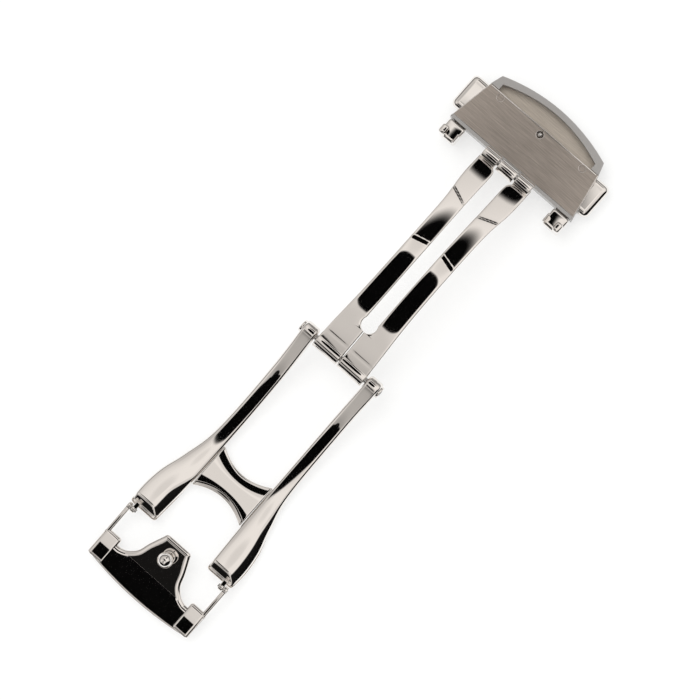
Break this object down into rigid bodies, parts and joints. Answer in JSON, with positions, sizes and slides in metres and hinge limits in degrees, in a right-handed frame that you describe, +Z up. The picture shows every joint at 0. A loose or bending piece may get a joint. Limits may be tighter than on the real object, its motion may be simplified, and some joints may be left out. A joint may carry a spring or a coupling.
{
  "type": "deployant clasp",
  "caption": "Folding deployant clasp for a leather watch strap: curved frame, twin blades, brushed cover with side pushers, and a strap holder with a ball-headed post.",
  "frame": {"origin": "middle of the unfolded clasp's footprint, on the table it lies on", "axes": "+X from the strap holder to the cover, +Y to the left arm, +Z up, the wrist side of the frame"},
  "size_m": [0.0968, 0.0268, 0.009],
  "materials": {
    "arms": "mirror polished",
    "bridge": "mirror polished",
    "blades": "mirror polished",
    "holder": "mirror polished",
    "pins": "polished",
    "shell": "bead blasted rim, brushed pocket",
    "plate": "satin brushed across",
    "pushers": "mirror polished",
    "hooks": "polished",
    "springs": "drawn wire"
  },
  "bodies": {
    "frame": {"arm_left": "arms", "arm_right": "arms", "bridge": "bridge", "central_hinge_pin": "pins", "holder_pin_left": "pins", "holder_pin_right": "pins"},
    "blades": {"blade_left": "blades", "blade_right": "blades"},
    "cover": {"cover_shell": "shell", "cover_plate": "plate", "plate_rivets": "plate", "detent_ball": "pins", "guide_rod": "springs", "return_spring_left": "springs", "return_spring_right": "springs", "cover_hinge_pin": "pins"},
    "left_release": {"pusher_left": "pushers", "latch_hook_left": "hooks"},
    "right_release": {"pusher_right": "pushers", "latch_hook_right": "hooks"},
    "holder": {"strap_holder": "holder", "strap_post": "holder"}
  },
  "joints": [
    {"name": "central_hinge", "type": "hinge", "parent": "frame", "child": "blades", "pos_m": [-0.00114, 0, 0.00598], "axis": [0, 1, 0], "range_deg": [0, 170.4]},
    {"name": "cover_hinge", "type": "hinge", "parent": "blades", "child": "cover", "pos_m": [0.03624, 0, 0.0045], "axis": [0, -1, 0], "range_deg": [0, 164.2]},
    {"name": "pusher_left_press", "type": "slide", "parent": "cover", "child": "left_release", "axis": [0, -1, 0], "range_m": [0, 0.0005], "stiffness_N_per_m": 500, "springref_m": -0.0005},
    {"name": "pusher_right_press", "type": "slide", "parent": "cover", "child": "right_release", "axis": [0, 1, 0], "range_m": [0, 0.0005], "stiffness_N_per_m": 500, "springref_m": -0.0005},
    {"name": "strap_holder_hinge", "type": "hinge", "parent": "frame", "child": "holder", "pos_m": [-0.03839, 0, 0.00246], "axis": [0, 1, 0], "range_deg": [0, 30]}
  ],
  "couplings": [
    {"joint": "cover_hinge", "follows": "central_hinge", "ratio": 0.9635}
  ]
}
